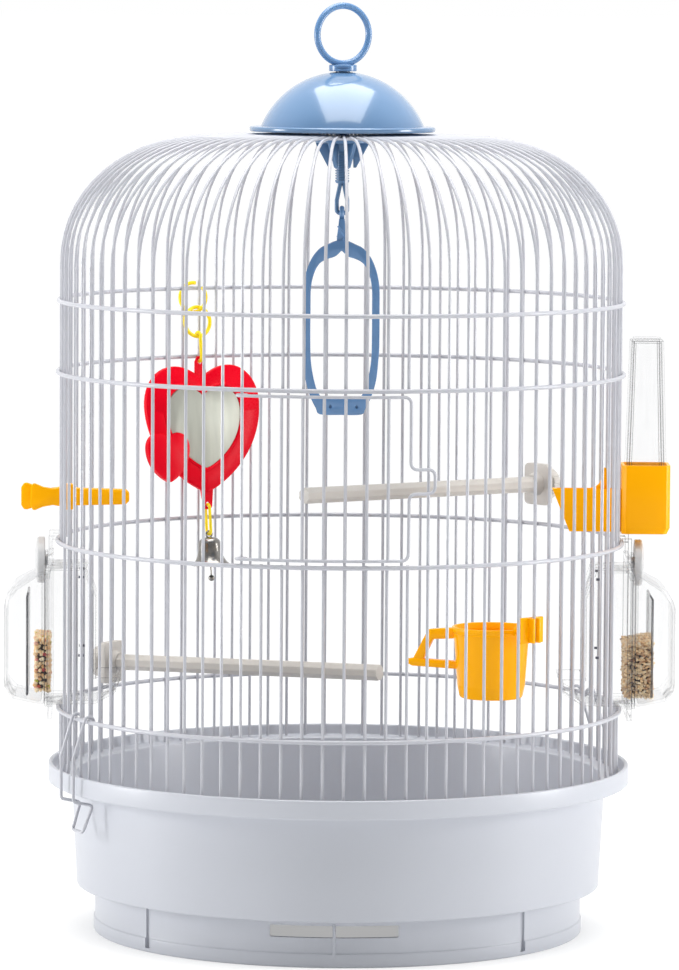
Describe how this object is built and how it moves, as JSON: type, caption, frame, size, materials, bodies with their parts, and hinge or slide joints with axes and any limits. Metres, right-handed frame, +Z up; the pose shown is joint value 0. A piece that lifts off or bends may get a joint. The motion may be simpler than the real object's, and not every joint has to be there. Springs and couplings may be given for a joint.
{
  "type": "bird cage",
  "caption": "Round wire bird cage on a deep plastic tray, with a hinged door, domed cap and carrying ring, perches, swing, feeders, drinker, treat cup and hanging toy.",
  "frame": {"origin": "centre of the tray's foot, at its underside", "axes": "+Z up along the cage's axis, -Y towards the door"},
  "size_m": [0.3809, 0.327, 0.5213],
  "materials": {
    "tray_plastic": "glossy cool white moulded plastic",
    "coated_wire": "satin light grey coating over steel wire",
    "blue_plastic": "glossy mid blue moulded plastic",
    "perch_plastic": "matt warm grey plastic",
    "lemon_plastic": "glossy yellow plastic",
    "red_plastic": "glossy red plastic",
    "mirror_foil": "plastic mirror foil",
    "nickel": "dark nickel plating",
    "yellow_plastic": "glossy orange yellow plastic",
    "clear_plastic": "clear transparent plastic",
    "knob_plastic": "satin white plastic",
    "seed_mix": "loose bird seed"
  },
  "bodies": {
    "cage": {"base_tray": "tray_plastic", "front_panel": "coated_wire", "left_panel_1": "coated_wire", "left_panel_2": "coated_wire", "left_panel_3": "coated_wire", "left_panel_4": "coated_wire", "right_panel_1": "coated_wire", "right_panel_2": "coated_wire", "right_panel_3": "coated_wire", "right_panel_4": "coated_wire", "upper_hoop": "coated_wire", "lower_hoop": "coated_wire", "cap": "blue_plastic", "clamp_washer": "tray_plastic", "hub_nut": "blue_plastic", "perch_upper": "perch_plastic", "perch_lower": "perch_plastic", "perch_nut_upper": "perch_plastic", "perch_nut_lower": "perch_plastic", "peg_body": "yellow_plastic", "feeder_frame_left": "clear_plastic", "feeder_frame_right": "clear_plastic", "drinker_base": "yellow_plastic"},
    "door": {"door": "coated_wire"},
    "clip_front": {"base_clip_front": "coated_wire"},
    "clip_back": {"base_clip_back": "coated_wire"},
    "handle": {"handle_ring": "blue_plastic", "hanger_stem": "blue_plastic"},
    "swing": {"swing": "blue_plastic"},
    "toy": {"toy_ring": "lemon_plastic", "toy_link": "lemon_plastic", "toy_hook": "lemon_plastic", "toy_heart": "red_plastic", "toy_mirror": "mirror_foil"},
    "bell_hanger": {"bell_link": "lemon_plastic"},
    "bell": {"bell": "nickel"},
    "clapper": {"bell_clapper": "nickel"},
    "jaw": {"peg_jaw": "yellow_plastic"},
    "hopper_left": {"feeder_hopper_left": "clear_plastic", "feeder_seeds_left": "seed_mix"},
    "knob_left": {"feeder_knob_left": "knob_plastic"},
    "hopper_right": {"feeder_hopper_right": "clear_plastic", "feeder_seeds_right": "seed_mix"},
    "knob_right": {"feeder_knob_right": "knob_plastic"},
    "tank": {"drinker_tank": "clear_plastic"},
    "cup": {"treat_cup": "yellow_plastic"}
  },
  "joints": [
    {"name": "door_hinge", "type": "hinge", "parent": "cage", "child": "door", "pos_m": [-0.05276, -0.14755, 0.2675], "axis": [0, 0, -1], "range_deg": [0, 120]},
    {"name": "clip_front_hinge", "type": "hinge", "parent": "cage", "child": "clip_front", "pos_m": [-0.14096, -0.07144, 0.1257], "axis": [-0.4521, 0.892, 0], "range_deg": [0, 90]},
    {"name": "clip_back_hinge", "type": "hinge", "parent": "cage", "child": "clip_back", "pos_m": [0.14096, 0.07144, 0.1257], "axis": [0.4521, -0.892, 0], "range_deg": [0, 90]},
    {"name": "handle_swivel", "type": "hinge", "parent": "cage", "child": "handle", "pos_m": [0, 0, 0.4866], "axis": [0, 0, 1], "range_deg": [-180, 180]},
    {"name": "swing_hinge", "type": "hinge", "parent": "handle", "child": "swing", "pos_m": [0, 0, 0.4037], "axis": [1, 0, 0], "range_deg": [-35, 35]},
    {"name": "toy_hinge", "type": "hinge", "parent": "cage", "child": "toy", "pos_m": [-0.08876, 0.13102, 0.3545], "axis": [-0.8279, -0.5609, 0], "range_deg": [0, 15]},
    {"name": "bell_link_hinge", "type": "hinge", "parent": "toy", "child": "bell_hanger", "pos_m": [-0.07724, 0.11743, 0.22694], "axis": [-0.5575, 0.8229, -0.1097], "range_deg": [-12, 12]},
    {"name": "bell_hinge", "type": "hinge", "parent": "bell_hanger", "child": "bell", "pos_m": [-0.07629, 0.11603, 0.21165], "axis": [-0.8279, -0.5609, 0], "range_deg": [0, 15]},
    {"name": "clapper_hinge", "type": "hinge", "parent": "bell", "child": "clapper", "pos_m": [-0.07592, 0.11548, 0.20563], "axis": [-0.5575, 0.8229, -0.1097], "range_deg": [-15, 15]},
    {"name": "jaw_hinge", "type": "hinge", "parent": "cage", "child": "jaw", "pos_m": [-0.1566, -0.0056, 0.244], "axis": [0.0357, -0.9994, 0], "range_deg": [0, 6], "stiffness_Nm_per_rad": 0.02},
    {"name": "hopper_left_slide", "type": "slide", "parent": "cage", "child": "hopper_left", "axis": [-0.9994, -0.0357, 0], "range_m": [0, 0.045]},
    {"name": "knob_left_turn", "type": "hinge", "parent": "hopper_left", "child": "knob_left", "pos_m": [-0.16789, -0.00601, 0.2083], "axis": [-0.9994, -0.0357, 0], "range_deg": [0, 90]},
    {"name": "hopper_right_slide", "type": "slide", "parent": "cage", "child": "hopper_right", "axis": [1, -0.0004, 0], "range_m": [0, 0.045]},
    {"name": "knob_right_turn", "type": "hinge", "parent": "hopper_right", "child": "knob_right", "pos_m": [0.168, -0.00006, 0.2083], "axis": [1, -0.0004, 0], "range_deg": [0, 90]},
    {"name": "tank_lift", "type": "slide", "parent": "cage", "child": "tank", "axis": [0, 0, 1], "range_m": [0, 0.03]},
    {"name": "cup_lift", "type": "slide", "parent": "cage", "child": "cup", "axis": [0, 0, 1], "range_m": [0, 0.02]}
  ]
}
